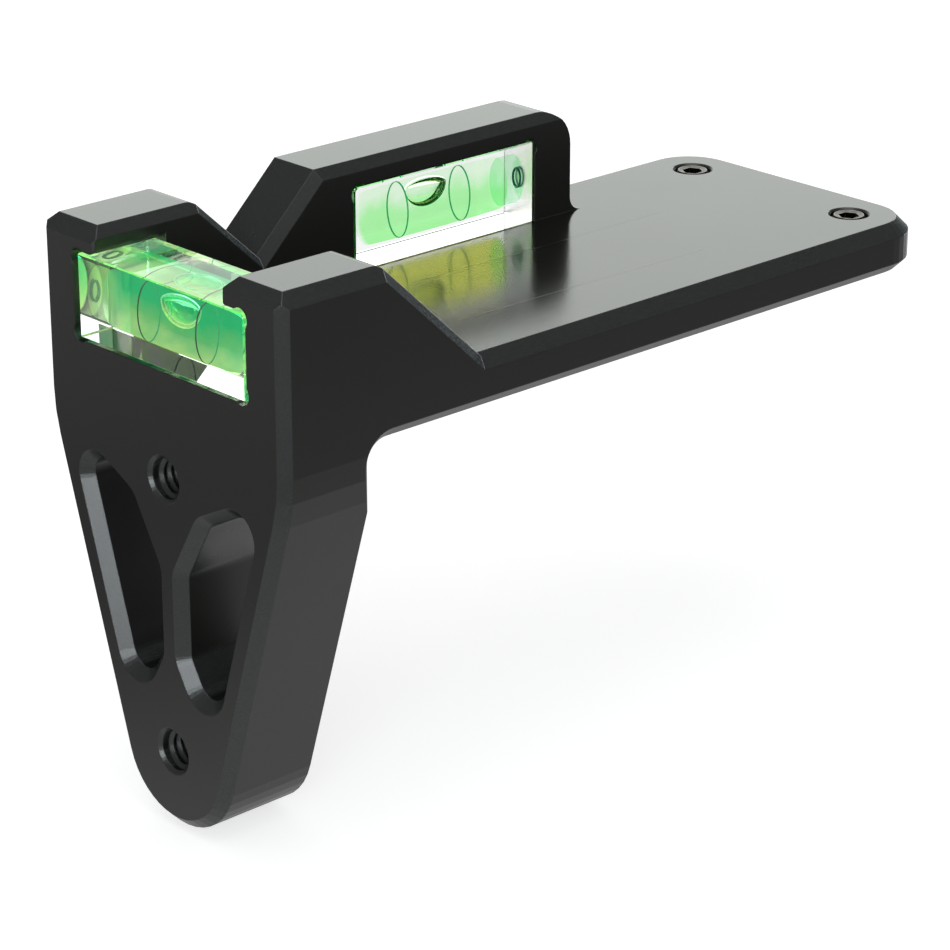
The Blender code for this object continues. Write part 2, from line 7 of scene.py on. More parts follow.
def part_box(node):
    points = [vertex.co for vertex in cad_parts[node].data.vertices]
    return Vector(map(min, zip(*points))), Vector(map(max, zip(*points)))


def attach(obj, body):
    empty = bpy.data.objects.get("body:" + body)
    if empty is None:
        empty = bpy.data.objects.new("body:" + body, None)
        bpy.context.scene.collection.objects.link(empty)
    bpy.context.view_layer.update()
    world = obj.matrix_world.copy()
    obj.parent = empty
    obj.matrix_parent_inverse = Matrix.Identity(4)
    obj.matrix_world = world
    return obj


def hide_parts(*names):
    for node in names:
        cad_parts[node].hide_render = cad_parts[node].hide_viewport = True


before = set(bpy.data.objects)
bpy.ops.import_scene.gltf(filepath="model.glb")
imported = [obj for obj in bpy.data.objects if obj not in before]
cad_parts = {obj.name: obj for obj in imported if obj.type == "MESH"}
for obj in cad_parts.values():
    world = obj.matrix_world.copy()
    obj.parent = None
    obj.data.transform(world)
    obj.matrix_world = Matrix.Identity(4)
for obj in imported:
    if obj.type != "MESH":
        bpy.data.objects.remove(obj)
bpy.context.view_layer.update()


# Bracket: one piece of aluminium, milled all over and then black anodised. The flats are satin, the
# chamfers are a little greyer, and the shelf's top is the smoothest. The slanting faces of each gusset
# are cut coarser, and their sharp upper edge carries a painted highlight, a near-white line for the glint.
ANODISED_BLACK = (0.0098, 0.0102, 0.0084, 1.0)
CHAMFER_GREY = (0.031, 0.033, 0.033, 1.0)
SLOPE_GREY = (0.085, 0.115, 0.125, 1.0)
WORN_GREY = (0.16, 0.165, 0.165, 1.0)
PAINTED_EDGE_HIGHLIGHT = (0.90, 0.92, 0.93, 1.0)
EDGE_ROUNDING = 0.00020
FLAT_ROUGHNESS = 0.36
CHAMFER_ROUGHNESS = 0.28
TOP_ROUGHNESS = 0.15
PASS_ROUGHNESS = 0.22
MARK_DEPTH = 0.00002
PASS_LINE_HALF = 0.00002
PASS_LINE_FADE = 0.00007
TOOL_PASSES = (((-0.0032, -0.0196, 0.0062), (-0.0031, 0.0224, 0.0062)),
               ((0.0099, -0.0240, 0.0062), (0.0111, 0.0152, 0.0062)))


def connect(tree, node, sockets):
    """Gives each named socket a number, a colour or another node's output."""
    for name, value in sockets.items():
        if isinstance(value, bpy.types.NodeSocket):
            tree.links.new(value, node.inputs[name])
        else:
            node.inputs[name].default_value = value


def place(tree, kind, sockets=None, **settings):
    """Adds a node with its settings made and its sockets connected."""
    made = tree.nodes.new(kind)
    for name, value in settings.items():
        setattr(made, name, value)
    connect(tree, made, sockets or {})
    return made


def maths(tree, operation, first, second=0.0, **settings):
    """The result of one sum, such as MULTIPLY, on two numbers or outputs."""
    return place(tree, "ShaderNodeMath", {0: first, 1: second}, operation=operation, **settings).outputs[0]


def vectors(tree, operation, first, second=None, result="Vector"):
    """The same on vectors; a length, a distance or a dot product is the result called Value."""
    given = {0: first} if second is None else {0: first, 1: second}
    return place(tree, "ShaderNodeVectorMath", given, operation=operation).outputs[result]


def remap(tree, value, start, stop, low=0.0, high=1.0, curve="LINEAR"):
    """Moves a value from the range start to stop into the range low to high, and holds it there."""
    return place(tree, "ShaderNodeMapRange", {"Value": value, "From Min": start, "From Max": stop,
                 "To Min": low, "To Max": high}, interpolation_type=curve).outputs[0]


def blend(tree, share, first, second):
    """A colour that goes from the first to the second as the share goes from 0 to 1."""
    return place(tree, "ShaderNodeMix", {"Factor": share, "A": first, "B": second},
                 data_type="RGBA").outputs["Result"]


def split(tree, vector):
    """The three parts of a vector."""
    return place(tree, "ShaderNodeSeparateXYZ", {0: vector}).outputs


def material(name):
    """An empty material with its Principled shader, ready for its pattern."""
    made = bpy.data.materials.new(name)
    made.use_nodes = True
    tree = made.node_tree
    return made, tree, tree.nodes["Principled BSDF"]


def effect(name, inputs, outputs):
    """An empty group of nodes with the named inputs and outputs."""
    tree = bpy.data.node_groups.new(name, "ShaderNodeTree")
    for label, kind, value in inputs:
        made = tree.interface.new_socket(label, in_out="INPUT", socket_type=kind)
        if value is not None:
            made.default_value = value
    for label, kind in outputs:
        tree.interface.new_socket(label, in_out="OUTPUT", socket_type=kind)
    return tree, tree.nodes.new("NodeGroupInput").outputs, tree.nodes.new("NodeGroupOutput")


# fine grain stretched one way, as a cutter or a polishing wheel leaves it, and broad soft handling marks
grain, given, out = effect(
    "cutter_grain",
    [("Vector", "NodeSocketVector", None), ("Fineness", "NodeSocketFloat", 3000.0),
     ("Direction", "NodeSocketVector", (0.0, 0.0, 0.0)), ("Stretch", "NodeSocketVector", (1.0, 1.0, 1.0))],
    [("Marks", "NodeSocketFloat"), ("Clouds", "NodeSocketFloat")])
turned = place(grain, "ShaderNodeMapping", {"Vector": given["Vector"], "Rotation": given["Direction"],
               "Scale": given["Stretch"]})
marks = place(grain, "ShaderNodeTexNoise", {"Vector": turned.outputs[0], "Scale": given["Fineness"],
              "Detail": 3.0, "Roughness": 0.6})
clouds = place(grain, "ShaderNodeTexNoise", {"Vector": given["Vector"], "Scale": 90.0, "Detail": 4.0})
connect(grain, out, {"Marks": marks.outputs["Fac"], "Clouds": clouds.outputs["Fac"]})

# how far a face leans away from the three main directions, 1 on a chamfer, and how far it faces up
facing, given, out = effect("facing", [("Normal", "NodeSocketVector", None)],
                            [("Chamfer", "NodeSocketFloat"), ("Up", "NodeSocketFloat")])
parts = split(facing, vectors(facing, "ABSOLUTE", given["Normal"]))
largest = maths(facing, "MAXIMUM", maths(facing, "MAXIMUM", parts[0], parts[1]), parts[2])
connect(facing, out, {"Chamfer": remap(facing, largest, 0.97, 0.92),
                      "Up": remap(facing, split(facing, given["Normal"])[2], 0.8, 0.95)})

# a fine line where one pass of the cutter meets the next, from a first to a last point
pass_line, given, out = effect(
    "pass_line", [("Vector", "NodeSocketVector", None), ("First", "NodeSocketVector", None),
                  ("Last", "NodeSocketVector", None)], [("Line", "NodeSocketFloat")])
run = vectors(pass_line, "SUBTRACT", given["Last"], given["First"])
away = vectors(pass_line, "SUBTRACT", given["Vector"], given["First"])
foot = vectors(pass_line, "PROJECT", away, run)
off = vectors(pass_line, "DISTANCE", away, foot, "Value")
thin = remap(pass_line, off, PASS_LINE_HALF, PASS_LINE_FADE, 0.8, 0.0)
started = maths(pass_line, "GREATER_THAN", vectors(pass_line, "DOT_PRODUCT", foot, run, "Value"))
ended = maths(pass_line, "LESS_THAN", vectors(pass_line, "LENGTH", foot, result="Value"),
              vectors(pass_line, "LENGTH", run, result="Value"))
within = maths(pass_line, "MULTIPLY", started, ended)
connect(pass_line, out, {"Line": maths(pass_line, "MULTIPLY", within, thin)})


def faces_of(tree, normal):
    """The facing group on a normal."""
    return place(tree, "ShaderNodeGroup", {"Normal": normal}, node_tree=facing).outputs


def grain_of(tree, vector, **looks):
    """The grain group on a place, with its fineness, direction and stretch."""
    sockets = {name.capitalize(): value for name, value in looks.items()}
    return place(tree, "ShaderNodeGroup", {"Vector": vector, **sockets}, node_tree=grain).outputs


def edges_of(tree, radius):
    """The surface's direction with its edges rounded, the plain one, and how alike they are: 1 on a flat."""
    rounded = place(tree, "ShaderNodeBevel", {"Radius": radius}, samples=6).outputs[0]
    plain = place(tree, "ShaderNodeNewGeometry").outputs["Normal"]
    return rounded, plain, vectors(tree, "DOT_PRODUCT", rounded, plain, "Value")


anodised, tree, shader = material("black_anodised_aluminium")
where = place(tree, "ShaderNodeTexCoord").outputs
faces = faces_of(tree, where["Normal"])
cut = grain_of(tree, where["Object"], fineness=4500.0, direction=(0.6, 0.5, 0.3), stretch=(1.0, 0.3, 1.0))
speckle = remap(tree, cut["Marks"], 0.4, 0.65)
chamfer = maths(tree, "MULTIPLY", faces["Chamfer"], remap(tree, speckle, 0.0, 1.0, 0.6, 1.0))
colour = blend(tree, chamfer, ANODISED_BLACK, CHAMFER_GREY)
rounded, plain, likeness = edges_of(tree, EDGE_ROUNDING)
rubbed = maths(tree, "MULTIPLY", remap(tree, likeness, 0.995, 0.90, 0.0, 0.08), cut["Clouds"])
colour = blend(tree, rubbed, colour, WORN_GREY)
back = remap(tree, split(tree, where["Normal"])[1], 0.15, 0.3)
slope = maths(tree, "MULTIPLY", back, faces["Chamfer"])
colour = blend(tree, maths(tree, "MULTIPLY", slope, speckle), colour, SLOPE_GREY)
# painted highlight: the upper edge of the slanting gusset faces is coloured near-white, standing in for the
# glint of the bright backdrop along that edge
upper = remap(tree, split(tree, vectors(tree, "SUBTRACT", rounded, plain))[2], 0.01, 0.05)
colour = blend(tree, maths(tree, "MULTIPLY", slope, upper), colour, PAINTED_EDGE_HIGHLIGHT)
milled = remap(tree, faces["Chamfer"], 0.0, 1.0, FLAT_ROUGHNESS, CHAMFER_ROUGHNESS)
satin = place(tree, "ShaderNodeMix", {"Factor": faces["Up"], "A": milled, "B": TOP_ROUGHNESS}).outputs[0]
roughness = maths(tree, "ADD", satin, remap(tree, cut["Clouds"], 0.0, 1.0, -0.05, 0.05))
for first, last in TOOL_PASSES:
    line = place(tree, "ShaderNodeGroup", {"Vector": where["Object"], "First": first, "Last": last},
                 node_tree=pass_line).outputs["Line"]
    rougher = maths(tree, "MULTIPLY", maths(tree, "MULTIPLY", line, faces["Up"]), PASS_ROUGHNESS)
    roughness = maths(tree, "ADD", rougher, roughness)
ridges = place(tree, "ShaderNodeBump", {"Strength": 0.35, "Distance": MARK_DEPTH, "Height": cut["Marks"],
               "Normal": rounded}).outputs[0]
connect(tree, shader, {"Base Color": colour, "Roughness": roughness, "Normal": ridges, "IOR": 1.7})

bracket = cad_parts["bracket"]
bracket.data.materials.clear()
bracket.data.materials.append(anodised)


# Threads of the two sight holes: cut into the flange for a coarse number 10 screw, one turn every
# 1.058 mm, so each hole shows sharp ridges from its countersink to the flange's back.
PITCH = 0.0254 / 24
TAPPED_HOLES = {"upper_sight_hole_thread": (0.0, -0.0066), "lower_sight_hole_thread": (0.0, -0.03994)}
FLANGE_FRONT = -0.05915
FLANGE_DEPTH = 0.0127
HOLE_RADIUS = 0.00240
RIDGE_TIP_RADIUS = 0.00192
HOLE_THREAD_START = 0.0004
THREAD_MARGIN = 0.0017      # what a thread leaves plain, at both ends together
STEPS_PER_TURN = 40


def piece(name, bm, finish, body, smooth=True):
    """Turns a finished bmesh into an object that rides on a body."""
    bmesh.ops.recalc_face_normals(bm, faces=bm.faces[:])
    mesh = bpy.data.meshes.new(name)
    bm.to_mesh(mesh)
    bm.free()
    mesh.materials.append(finish)
    if smooth:
        mesh.shade_smooth()
    made = bpy.data.objects.new(name, mesh)
    bpy.context.scene.collection.objects.link(made)
    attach(made, body)
    return made


def helix(outline, axis, centre, first, rise, turns):
    """A ridge with the given outline, wound round an axis; outline holds (radius, height) pairs."""
    bm = bmesh.new()
    along = Vector(axis)
    across = Vector((0, 0, 1)) if abs(along.z) < 0.5 else Vector((1, 0, 0))
    corners = [bm.verts.new(Vector(centre) + across * r + along * (first + h)) for r, h in outline]
    ends = [bm.edges.new((corners[i], corners[(i + 1) % len(corners)])) for i in range(len(corners))]
    bmesh.ops.spin(bm, geom=corners + ends, cent=centre, axis=axis, dvec=along * (rise / STEPS_PER_TURN),
                   angle=2 * math.pi * turns, steps=int(STEPS_PER_TURN * turns), use_duplicate=False)
    loose = [e for e in bm.edges if len(e.link_faces) == 1]
    bmesh.ops.holes_fill(bm, edges=loose, sides=len(corners))
    return bm


for name, (x, z) in TAPPED_HOLES.items():
    ridge = helix([(HOLE_RADIUS, 0.0), (HOLE_RADIUS, PITCH * 0.86), (RIDGE_TIP_RADIUS, PITCH * 0.50),
                   (RIDGE_TIP_RADIUS, PITCH * 0.36)], (0, 1, 0), (x, FLANGE_FRONT, z), HOLE_THREAD_START,
                  PITCH, (FLANGE_DEPTH - THREAD_MARGIN) / PITCH)
    thread = piece(name, ridge, anodised, "bracket", smooth=False)


# Front vial: a block of clear polished acrylic with a barrel-shaped bore, filled with green dyed fluid,
# closed by a plug with a drop of sealing resin, and marked with two fine dark rings. It is glued into
# the pocket between the lugs. The fluid's index is close to the acrylic's, so the bore's wall hardly shows.
BLOCK_EDGE = 0.00014
BLIND_END_ROUND = 0.0007
BLIND_DEPTH = 0.0036
PLUG_DEPTH = 0.0034
PLUG_RADIUS = 0.0031
PLUG_RECESS = 0.0004
PLUG_GAP = 0.0001
TURNED_CORNER = 0.0002
BORE_RADIUS = 0.00349
BORE_END_RADIUS = 0.00334
BORE_STEPS = 12
SEAL_RADIUS = 0.00135
SEAL_RECESS = 0.00002
# the drop's outline from its outer corner, as (along, inwards)
SEAL_OUTLINE = ((0.0, 0.0003), (0.0, 0.0), (0.0002, 0.0), (0.0003, 0.00012),
                (0.0002, 0.0003), (0.0, 0.0003))
LINE_WIDTH = 0.0002
LINE_RADII = (0.00342, 0.00350)
BUBBLE_TOP = 0.62           # how tall its upper half is beside a round one's
BUBBLE_SKIN = 0.985         # how large the air is inside the skin of fluid
RIPPLE_DEPTH = 0.00005
ACRYLIC = (0.985, 1.0, 0.99, 1.0)
ACRYLIC_INDEX = 1.49
UNTINTED = (0.99, 1.0, 0.99, 1.0)
NO_LIGHT = (0.0, 0.0, 0.0, 1.0)
EDGE_GLOW = (0.30, 0.60, 0.06, 1.0)


def clear_acrylic(name, axis, sawn_roughness, edge_light):
    """Polished on its four long sides and sawn at its two ends, which face along the axis; its upward-facing
    bevels give off a painted yellow-green glow of strength edge_light.
    """
    made, tree, shader = material(name)
    where = place(tree, "ShaderNodeTexCoord").outputs
    faces = faces_of(tree, where["Normal"])
    wipe = grain_of(tree, where["Object"], fineness=700.0, stretch=(1.0, 0.2, 1.0))
    haze = remap(tree, wipe["Marks"], 0.4, 0.8, 0.0, 0.04)
    lean = split(tree, where["Normal"])
    sawn = remap(tree, maths(tree, "ABSOLUTE", lean[axis]), 0.9, 0.98, 0.0, sawn_roughness)
    # painted light: the bevels that face upwards glow yellow-green, standing in for light caught along the
    # block's edges
    lit = maths(tree, "MULTIPLY", faces["Chamfer"], remap(tree, lean[2], 0.1, 0.6))
    connect(tree, shader, {
        "Base Color": ACRYLIC, "Roughness": maths(tree, "ADD", haze, sawn), "IOR": ACRYLIC_INDEX,
        "Transmission Weight": 1.0, "Emission Color": blend(tree, lit, NO_LIGHT, EDGE_GLOW),
        "Emission Strength": edge_light})
    return made


def dyed_fluid(name, index, axis, ends, depths, levels, near_share, tints_and_painted_light, painted_glows, mirrored, fade=0.001,
               plug_shift=0.0):
    """Fluid or acrylic that takes its colour where light leaves it. Its tint and glow colours are (bottom,
    middle, top) colours between two levels, lowered by plug_shift at the plug; this change with height and
    at the plug is painted light and shade, and the glow is painted light, given off though the fluid is no
    lamp. Its ends lie at the plug and at the blind end, towards which the colour pales over a share of the
    length. On an end cap the colour grows from near_share to full between two depths. A glossy surface
    shows it in the mirrored colour, a painted reflection colour."""
    made, tree, shader = material(name)
    where = place(tree, "ShaderNodeTexCoord").outputs
    parts = split(tree, where["Object"])
    along = remap(tree, parts[axis], *ends)
    swirl = place(tree, "ShaderNodeTexNoise", {"Vector": where["Object"], "Scale": 230.0, "Detail": 2.0})
    stir = remap(tree, swirl.outputs["Fac"], 0.3, 0.7, -0.12, 0.12)
    plugwards = remap(tree, along, 0.4, 0.0, 0.0, plug_shift, "SMOOTHSTEP")
    level = maths(tree, "ADD", remap(tree, parts[2], *levels), maths(tree, "ADD", plugwards, stir),
                  use_clamp=True)
    tint, glow = (place(tree, "ShaderNodeValToRGB", {"Fac": level}) for _ in range(2))
    for ramp, colours, power in ((tint, tints_and_painted_light, 2), (glow, painted_glows, 1)):
        ramp.color_ramp.elements[0].position, ramp.color_ramp.elements[1].position = 0.12, 0.88
        ramp.color_ramp.elements.new(0.55)
        for stop, colour in zip(ramp.color_ramp.elements, colours):
            stop.color = (*(part ** power for part in colour), 1.0)

    # light that the bubble throws back has crossed four surfaces by then, and keeps the plain tint
    ray = place(tree, "ShaderNodeLightPath").outputs
    crossed = maths(tree, "ABSOLUTE", maths(tree, "SUBTRACT", ray["Transmission Depth"], 4.0))
    twice = maths(tree, "MULTIPLY", maths(tree, "GREATER_THAN", ray["Glossy Depth"], 0.5),
                  maths(tree, "GREATER_THAN", crossed, 1.5))
    tinted = blend(tree, twice, tint.outputs["Color"], mirrored)

    # the colour is laid on once, where light leaves, and less where its way through was short
    depth = remap(tree, parts[1 - axis], *depths, near_share, 1.0)
    blind = remap(tree, along, 1.0, 1.0 - fade, 0.15, 1.0, "SMOOTHSTEP")
    lean = maths(tree, "ABSOLUTE", split(tree, where["Normal"])[axis])
    share = place(tree, "ShaderNodeMix", {"Factor": remap(tree, lean, 0.4, 0.9), "A": blind,
                  "B": depth}).outputs[0]
    leaving = maths(tree, "MULTIPLY", share, place(tree, "ShaderNodeNewGeometry").outputs["Backfacing"])
    # painted light: the fluid and plug give off their glow colour, and both colours change with height as
    # painted light and shade
    connect(tree, shader, {
        "Base Color": blend(tree, leaving, UNTINTED, tinted), "Roughness": 0.0, "IOR": index,
        "Transmission Weight": 1.0, "Emission Color": blend(tree, leaving, NO_LIGHT, glow.outputs["Color"]),
        "Emission Strength": 2.0})
    return made


def bubble_surface(name, tint, index, ripple, fineness, rim=None):
    """Clear matter with a faint ripple in its surface; rim is a painted light given off in streaks along
    its outline, as (bottom, top) colours."""
    made, tree, shader = material(name)
    where = place(tree, "ShaderNodeTexCoord").outputs
    noise = place(tree, "ShaderNodeTexNoise", {"Vector": where["Object"], "Scale": fineness}).outputs["Fac"]
    wave = place(tree, "ShaderNodeBump", {"Strength": ripple, "Distance": RIPPLE_DEPTH, "Height": noise})
    connect(tree, shader, {"Base Color": tint, "Roughness": 0.0, "IOR": index, "Transmission Weight": 1.0,
                           "Normal": wave.outputs[0]})
    if rim:
        # painted light: the bubble's outline gives off streaky light, blended from the bottom colour to the
        # top one
        outline = place(tree, "ShaderNodeLayerWeight", {"Blend": 0.5}).outputs["Facing"]
        streaks = remap(tree, noise, 0.4, 0.6, 0.6, 1.0)
        painted_outline_light = maths(tree, "MULTIPLY", remap(tree, outline, 0.55, 0.9), streaks)
        above = remap(tree, split(tree, where["Normal"])[2], -0.3, 0.5)
        light = blend(tree, painted_outline_light, NO_LIGHT, blend(tree, above, *rim))
        connect(tree, shader, {"Emission Color": light, "Emission Strength": 1.0})
    return made


def speckled(name, colour, other, fineness, roughness, light, fading=None):
    """A plain solid whose colour and shine vary finely; light is the strength of a painted glow in its own
    colour, standing in for the fluid's light on it, and fading is the axis, near place, far place and far
    glow of a line that is seen through the fluid, the far glow being painted light as well."""
    made, tree, shader = material(name)
    where = place(tree, "ShaderNodeTexCoord").outputs
    noise = place(tree, "ShaderNodeTexNoise", {"Vector": where["Object"], "Scale": fineness,
                  "Detail": 3.0}).outputs["Fac"]
    mixed = blend(tree, noise, colour, other)
    glow = mixed
    if fading:
        axis, near, far, far_glow = fading
        depth = remap(tree, split(tree, where["Object"])[axis], near, far)
        glow = blend(tree, depth, mixed, far_glow)
    # painted light: the solid gives off light in its own colour, turning to the far glow colour towards the
    # far side
    connect(tree, shader, {"Base Color": mixed, "Emission Color": glow, "Emission Strength": light,
                           "Roughness": remap(tree, noise, 0.0, 1.0, roughness - 0.1, roughness + 0.1)})
    return made


def turned_on_x(name, outline, into_place, finish, replaced, steps=72):
    """A solid of revolution round the vial's axis; outline holds (along, radius) pairs."""
    bm = bmesh.new()
    dots = [bm.verts.new((x, 0.0, r)) for x, r in outline]
    lines = [bm.edges.new(pair) for pair in zip(dots, dots[1:])]
    bmesh.ops.spin(bm, geom=dots + lines, cent=(0, 0, 0), axis=(1, 0, 0), angle=2 * math.pi, steps=steps,
                   use_merge=True)
    bmesh.ops.remove_doubles(bm, verts=bm.verts[:], dist=1e-6)
    bm.transform(into_place)
    made = piece(name, bm, finish, "bracket")
    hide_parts(replaced)


def clear_block(prefix, into_place, sizes, bedding, acrylic):
    """A block with fine bevels and one rounded upper edge at its blind end; bedding is how far it
    reaches into the adhesive at its ends, top and bottom."""
    half, across, tall = sizes
    ends, top, bottom = bedding
    bm = bmesh.new()
    bmesh.ops.create_cube(bm, size=2.0)
    bmesh.ops.scale(bm, vec=(half + ends, across, tall), verts=bm.verts[:])
    bmesh.ops.translate(bm, vec=(0.0, 0.0, top), verts=[v for v in bm.verts if v.co.z > 0])
    bmesh.ops.translate(bm, vec=(0.0, 0.0, -bottom), verts=[v for v in bm.verts if v.co.z < 0])
    softened = [e for e in bm.edges if all(v.co.x > 0 and v.co.z > 0 for v in e.verts)]
    bmesh.ops.bevel(bm, geom=softened, offset=BLIND_END_ROUND, segments=5, profile=0.5, affect="EDGES",
                    material=-1)
    sharp = [e for e in bm.edges if e.calc_face_angle() > 0.6]
    bmesh.ops.bevel(bm, geom=sharp, offset=BLOCK_EDGE, segments=1, profile=0.5, affect="EDGES", material=-1)
    bm.transform(into_place)
    shell = piece(prefix + "_clear_block", bm, acrylic, "bracket", smooth=False)
    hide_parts(prefix + "_block")


def air_bubble(prefix, body, skin, air):
    """A bubble flatter above than below, with a skin of fluid round a slightly smaller body of air."""
    low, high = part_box(prefix + "_bubble")
    bm = bmesh.new()
    bmesh.ops.create_uvsphere(bm, u_segments=48, v_segments=32, radius=0.5)
    for upper, tallness in ((True, BUBBLE_TOP), (False, 2.0 - BUBBLE_TOP)):
        cap = [v for v in bm.verts if abs(v.co.z) > 1e-6 and (v.co.z > 0) == upper]
        bmesh.ops.scale(bm, vec=(1.0, 1.0, tallness), verts=cap)
    bmesh.ops.translate(bm, vec=(0.0, 0.0, (1.0 - BUBBLE_TOP) / 2), verts=bm.verts[:])
    bmesh.ops.scale(bm, vec=high - low, verts=bm.verts[:])
    doubled = bmesh.ops.duplicate(bm, geom=bm.faces[:])
    inside = [f for f in doubled["geom"] if isinstance(f, bmesh.types.BMFace)]
    bmesh.ops.scale(bm, vec=(BUBBLE_SKIN, BUBBLE_SKIN, BUBBLE_SKIN),
                    verts=list({v for f in inside for v in f.verts}))
    for face in inside:
        face.material_index = 1
    bmesh.ops.reverse_faces(bm, faces=inside)
    bmesh.ops.translate(bm, vec=(low + high) / 2, verts=bm.verts[:])
    mesh = bpy.data.meshes.new(prefix + "_air_bubble")
    bm.to_mesh(mesh)
    bm.free()
    mesh.materials.append(skin)
    mesh.materials.append(air)
    mesh.shade_smooth()
    bubble = bpy.data.objects.new(prefix + "_air_bubble", mesh)
    bpy.context.scene.collection.objects.link(bubble)
    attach(bubble, body)
    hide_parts(prefix + "_bubble")


def vial(prefix, bubble_body, turn, bedding, acrylic, fluid, plug, resin, line, air, skin):
    """All pieces of one vial, made along X with the plug at its low end, then turned into place."""
    low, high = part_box(prefix + "_block")
    into_place = Matrix.Translation((low + high) / 2) @ Matrix.Rotation(turn, 4, "Z")
    size = high - low
    half = max(size.x, size.y) / 2
    clear_block(prefix, into_place, (half, min(size.x, size.y) / 2, size.z / 2), bedding, acrylic)

    start, stop = -half + PLUG_DEPTH, half - BLIND_DEPTH
    barrel = [(start, 0.0), (start, BORE_END_RADIUS)]
    for i in range(1, BORE_STEPS):
        bow = 1 - (2 * i / BORE_STEPS - 1) ** 2
        barrel.append((start + (stop - start) * i / BORE_STEPS,
                       BORE_END_RADIUS + (BORE_RADIUS - BORE_END_RADIUS) * bow))
    barrel += [(stop - TURNED_CORNER, BORE_END_RADIUS), (stop, BORE_END_RADIUS - TURNED_CORNER), (stop, 0.0)]
    turned_on_x(prefix + "_green_fluid", barrel, into_place, fluid, prefix + "_fluid")

    outer, inner = -half + PLUG_RECESS, start - PLUG_GAP
    stopper = [(outer, 0.0), (outer, PLUG_RADIUS - TURNED_CORNER), (outer + TURNED_CORNER, PLUG_RADIUS),
               (inner - TURNED_CORNER, PLUG_RADIUS), (inner, PLUG_RADIUS - TURNED_CORNER), (inner, 0.0)]
    turned_on_x(prefix + "_end_plug", stopper, into_place, plug, prefix + "_plug")

    drop = [(-half + SEAL_RECESS + along, SEAL_RADIUS - inwards) for along, inwards in SEAL_OUTLINE]
    turned_on_x(prefix + "_sealing_resin", drop, into_place, resin, prefix + "_seal", steps=48)

    for end in ("_ring_plug_end", "_ring_blind_end"):
        low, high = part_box(prefix + end)
        at = (into_place.inverted() @ ((low + high) / 2)).x
        one, other = at - LINE_WIDTH / 2, at + LINE_WIDTH / 2
        inner, outer = LINE_RADII
        hoop = [(one, inner), (one, outer), (other, outer), (other, inner), (one, inner)]
        turned_on_x(prefix + end.replace("ring", "line"), hoop, into_place, line, prefix + end)
    air_bubble(prefix, bubble_body, skin, air)


bubble_skin = bubble_surface("fluid_round_bubble", (0.97, 1.0, 0.98, 1.0), 1.0, ripple=0.05, fineness=900.0)
# painted light: the resin gives off a little light in its own dark blue colour
seal_resin = speckled("dark_sealing_resin", (0.006, 0.024, 0.040, 1.0), (0.02, 0.06, 0.10, 1.0),
                      fineness=1500.0, roughness=0.3, light=0.6)
vial("front_vial", "front_bubble", turn=0.0, bedding=(0.0, 0.0, 0.0),
     acrylic=clear_acrylic("front_clear_acrylic", axis=0, sawn_roughness=0.03, edge_light=0.35),
     fluid=dyed_fluid("front_green_fluid", 1.01, axis=0, ends=(-0.0107, 0.0111), depths=(-0.0577, -0.0509),
                      levels=(0.0058, 0.0126), near_share=0.0, plug_shift=-0.06,
                      tints_and_painted_light=((0.40, 0.78, 0.42), (0.20, 0.72, 0.40), (0.16, 0.68, 0.38)),
                      painted_glows=((0.22, 0.33, 0.095), (0.05, 0.205, 0.06), (0.004, 0.19, 0.062)),
                      mirrored=(0.50, 0.62, 0.28, 1.0)),
     plug=dyed_fluid("front_plug_acrylic", 1.0, axis=0, ends=(-0.0140, -0.0108), depths=(-0.0573, -0.0511),
                     levels=(0.0070, 0.0138), near_share=0.3, fade=0.6,
                     tints_and_painted_light=((0.85, 0.95, 0.7), (0.8, 0.95, 0.7), (0.75, 0.95, 0.7)),
                     painted_glows=((0.10, 0.17, 0.07), (0.09, 0.17, 0.065), (0.08, 0.16, 0.05)),
                     mirrored=(0.9, 0.9, 0.5, 1.0)),
     resin=seal_resin,
     # painted light: the dark lines give off a little light, turning green at their far side behind the fluid
     line=speckled("front_dark_line", (0.010, 0.030, 0.018, 1.0), (0.020, 0.050, 0.030, 1.0), fineness=2500.0,
                   roughness=0.5, light=0.6, fading=(1, -0.0565, -0.0515, (0.05, 0.50, 0.20, 1.0))),
     air=bubble_surface("front_bubble_surface", (0.84, 0.96, 0.84, 1.0), 1.22, ripple=0.04, fineness=1500.0,
                        rim=((0.30, 0.50, 0.10, 1.0), (0.40, 0.52, 0.38, 1.0))),
     skin=bubble_skin)


